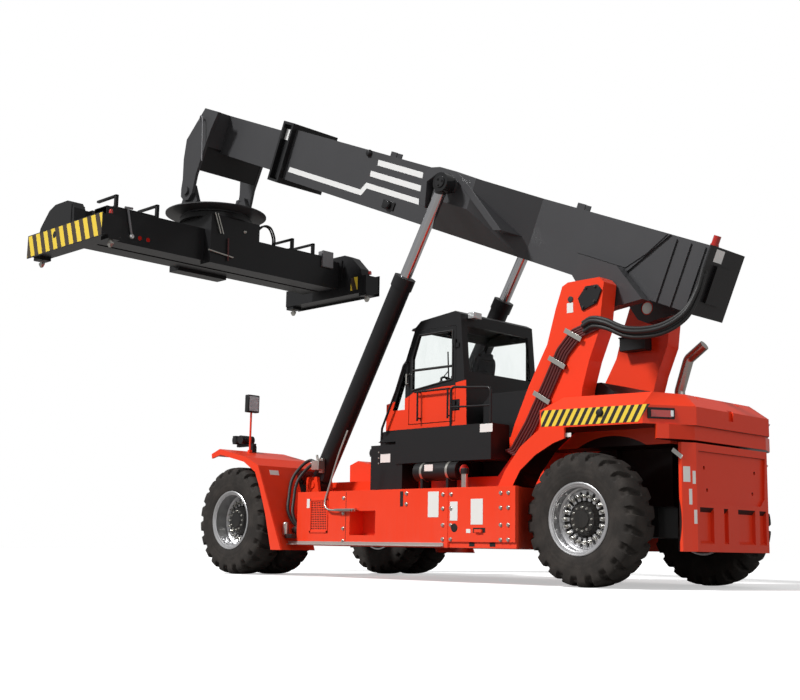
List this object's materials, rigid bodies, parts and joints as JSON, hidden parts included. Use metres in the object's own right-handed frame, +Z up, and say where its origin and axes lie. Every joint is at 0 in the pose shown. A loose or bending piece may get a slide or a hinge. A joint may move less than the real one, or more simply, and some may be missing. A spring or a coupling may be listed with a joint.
{
  "type": "reach stacker",
  "caption": "Reach stacker with its telescopic boom raised 23 degrees, a slewing container spreader, dual front wheels, two steered rear wheels and a glazed cab between two lift cylinders.",
  "frame": {"origin": "on the ground under the middle of the machine's overall length and width", "axes": "+X forwards over the spreader, +Y to the driver's left, +Z up"},
  "size_m": [12.0597, 6.333, 8.4476],
  "materials": {
    "bare_steel": "worn",
    "black_paint": "satin",
    "black_plastic": "matte",
    "boom_charcoal": "satin",
    "cab_glass": "clear",
    "chrome_rod": "polished",
    "engine_grey": "matte",
    "frame_red": "gloss",
    "hazard_yellow": "striped",
    "lamp_red": "gloss",
    "red_hose": "matte",
    "rim_silver": "satin",
    "seat_fabric": "woven",
    "tyre_rubber": "matte"
  },
  "bodies": {
    "chassis": {"chassis_frame": "frame_red", "boom_towers": "frame_red", "engine": "engine_grey", "engine_cover": "black_paint", "hood": "frame_red", "hood_lamps": "lamp_red", "exhaust_stack": "chrome_rod", "tower_hoses": "red_hose", "counterweight": "frame_red", "side_boxes": "frame_red", "rear_mudguards": "frame_red", "front_fenders": "frame_red", "front_lamps": "black_plastic", "mirror_posts": "frame_red", "cab_frame": "black_paint", "cab_glass": "cab_glass", "cab_panels": "frame_red", "cab_platform": "black_paint", "utility_boxes": "black_paint", "handrails": "black_paint", "seat_base": "black_plastic", "seat_cushion": "seat_fabric", "steering_console": "black_plastic", "front_axle": "black_paint", "steer_axle": "black_paint"},
    "door": {"cab_door": "black_paint", "door_glass": "cab_glass", "door_panel": "frame_red"},
    "front_wheels_left": {"front_tyres_left": "tyre_rubber", "front_rims_left": "rim_silver"},
    "front_wheels_right": {"front_tyres_right": "tyre_rubber", "front_rims_right": "rim_silver"},
    "steering_left": {"knuckle_left": "bare_steel"},
    "steering_right": {"knuckle_right": "bare_steel"},
    "rear_wheel_left": {"rear_tyre_left": "tyre_rubber", "rear_rim_left": "rim_silver"},
    "rear_wheel_right": {"rear_tyre_right": "tyre_rubber", "rear_rim_right": "rim_silver"},
    "boom": {"outer_boom": "boom_charcoal", "boom_tail": "black_paint", "beacon": "lamp_red", "boom_collar": "black_paint"},
    "boom_extension": {"inner_boom": "boom_charcoal", "boom_head": "boom_charcoal"},
    "cylinder_left": {"lift_barrel_left": "black_paint"},
    "cylinder_right": {"lift_barrel_right": "black_paint"},
    "ram_left": {"lift_rod_left": "chrome_rod"},
    "ram_right": {"lift_rod_right": "chrome_rod"},
    "spreader_tilt": {"tilt_yoke": "black_paint"},
    "spreader_slew": {"slew_carriage": "black_paint"},
    "spreader_body": {"spreader_frame": "black_paint"},
    "telescope_left": {"telescope_beam_left": "black_paint", "end_beam_left": "hazard_yellow"},
    "telescope_right": {"telescope_beam_right": "black_paint", "end_beam_right": "hazard_yellow"},
    "lock_left_front": {"twistlock_left_front": "bare_steel"},
    "lock_left_rear": {"twistlock_left_rear": "bare_steel"},
    "lock_right_front": {"twistlock_right_front": "bare_steel"},
    "lock_right_rear": {"twistlock_right_rear": "bare_steel"}
  },
  "joints": [
    {"name": "door_swing", "type": "hinge", "parent": "chassis", "child": "door", "pos_m": [-2.152, 0.818, 2.9], "axis": [0, 0, 1], "range_deg": [0, 75]},
    {"name": "front_wheels_left_spin", "type": "hinge", "parent": "chassis", "child": "front_wheels_left", "pos_m": [1.24, 1.54, 0.798], "axis": [0, 1, 0], "continuous": true},
    {"name": "steer_left", "type": "hinge", "parent": "chassis", "child": "steering_left", "pos_m": [-4.86, 1.11, 0.798], "axis": [0, 0, 1], "range_deg": [-60, 60]},
    {"name": "rear_wheel_left_spin", "type": "hinge", "parent": "steering_left", "child": "rear_wheel_left", "pos_m": [-4.86, 1.37, 0.798], "axis": [0, 1, 0], "continuous": true},
    {"name": "lift_cylinder_left_swing", "type": "hinge", "parent": "chassis", "child": "cylinder_left", "pos_m": [0.33, 1.11, 1.35], "axis": [0, -1, 0], "range_deg": [-3.37, 5.31]},
    {"name": "lift_ram_left_slide", "type": "slide", "parent": "cylinder_left", "child": "ram_left", "axis": [-0.5112, 0, 0.8595], "range_m": [-1.1611, 1.8648]},
    {"name": "front_wheels_right_spin", "type": "hinge", "parent": "chassis", "child": "front_wheels_right", "pos_m": [1.24, -1.54, 0.798], "axis": [0, 1, 0], "continuous": true},
    {"name": "steer_right", "type": "hinge", "parent": "chassis", "child": "steering_right", "pos_m": [-4.86, -1.11, 0.798], "axis": [0, 0, 1], "range_deg": [-60, 60]},
    {"name": "rear_wheel_right_spin", "type": "hinge", "parent": "steering_right", "child": "rear_wheel_right", "pos_m": [-4.86, -1.37, 0.798], "axis": [0, 1, 0], "continuous": true},
    {"name": "lift_cylinder_right_swing", "type": "hinge", "parent": "chassis", "child": "cylinder_right", "pos_m": [0.33, -1.11, 1.35], "axis": [0, -1, 0], "range_deg": [-3.37, 5.31]},
    {"name": "lift_ram_right_slide", "type": "slide", "parent": "cylinder_right", "child": "ram_right", "axis": [-0.5112, 0, 0.8595], "range_m": [-1.1611, 1.8648]},
    {"name": "boom_luff", "type": "hinge", "parent": "chassis", "child": "boom", "pos_m": [-4.516, 0, 3.692], "axis": [0, -1, 0], "range_deg": [-23, 37]},
    {"name": "boom_telescope", "type": "slide", "parent": "boom", "child": "boom_extension", "axis": [0.9205, 0, 0.3907], "range_m": [0, 6]},
    {"name": "spreader_tilt_swing", "type": "hinge", "parent": "boom_extension", "child": "spreader_tilt", "pos_m": [4.78974, 0, 6.95004], "axis": [0, 1, 0], "range_deg": [-28, 42]},
    {"name": "spreader_slew_turn", "type": "hinge", "parent": "spreader_tilt", "child": "spreader_slew", "pos_m": [4.78974, 0, 6.55004], "axis": [0, 0, 1], "range_deg": [-105, 195]},
    {"name": "side_shift", "type": "slide", "parent": "spreader_slew", "child": "spreader_body", "axis": [0, -1, 0], "range_m": [-0.8, 0.8]},
    {"name": "telescope_left_slide", "type": "slide", "parent": "spreader_body", "child": "telescope_left", "axis": [0, 1, 0], "range_m": [0, 3.066]},
    {"name": "telescope_right_slide", "type": "slide", "parent": "spreader_body", "child": "telescope_right", "axis": [0, -1, 0], "range_m": [0, 3.066]},
    {"name": "lock_left_front_turn", "type": "hinge", "parent": "telescope_left", "child": "lock_left_front", "pos_m": [5.91924, 2.9265, 5.37004], "axis": [0, 0, 1], "range_deg": [0, 90]},
    {"name": "lock_left_rear_turn", "type": "hinge", "parent": "telescope_left", "child": "lock_left_rear", "pos_m": [3.66024, 2.9265, 5.37004], "axis": [0, 0, 1], "range_deg": [0, 90]},
    {"name": "lock_right_front_turn", "type": "hinge", "parent": "telescope_right", "child": "lock_right_front", "pos_m": [5.91924, -2.9265, 5.37004], "axis": [0, 0, 1], "range_deg": [0, 90]},
    {"name": "lock_right_rear_turn", "type": "hinge", "parent": "telescope_right", "child": "lock_right_rear", "pos_m": [3.66024, -2.9265, 5.37004], "axis": [0, 0, 1], "range_deg": [0, 90]}
  ],
  "couplings": [
    {"joint": "steer_right", "follows": "steer_left", "ratio": 1},
    {"joint": "telescope_right_slide", "follows": "telescope_left_slide", "ratio": 1},
    {"joint": "lift_cylinder_left_swing", "follows": "boom_luff", "ratio": 0.138},
    {"joint": "lift_ram_left_slide", "follows": "boom_luff", "m_per_rad": 2.88},
    {"joint": "lift_cylinder_right_swing", "follows": "boom_luff", "ratio": 0.138},
    {"joint": "lift_ram_right_slide", "follows": "boom_luff", "m_per_rad": 2.88},
    {"joint": "lock_left_rear_turn", "follows": "lock_left_front_turn", "ratio": 1},
    {"joint": "lock_right_front_turn", "follows": "lock_left_front_turn", "ratio": 1},
    {"joint": "lock_right_rear_turn", "follows": "lock_left_front_turn", "ratio": 1}
  ]
}
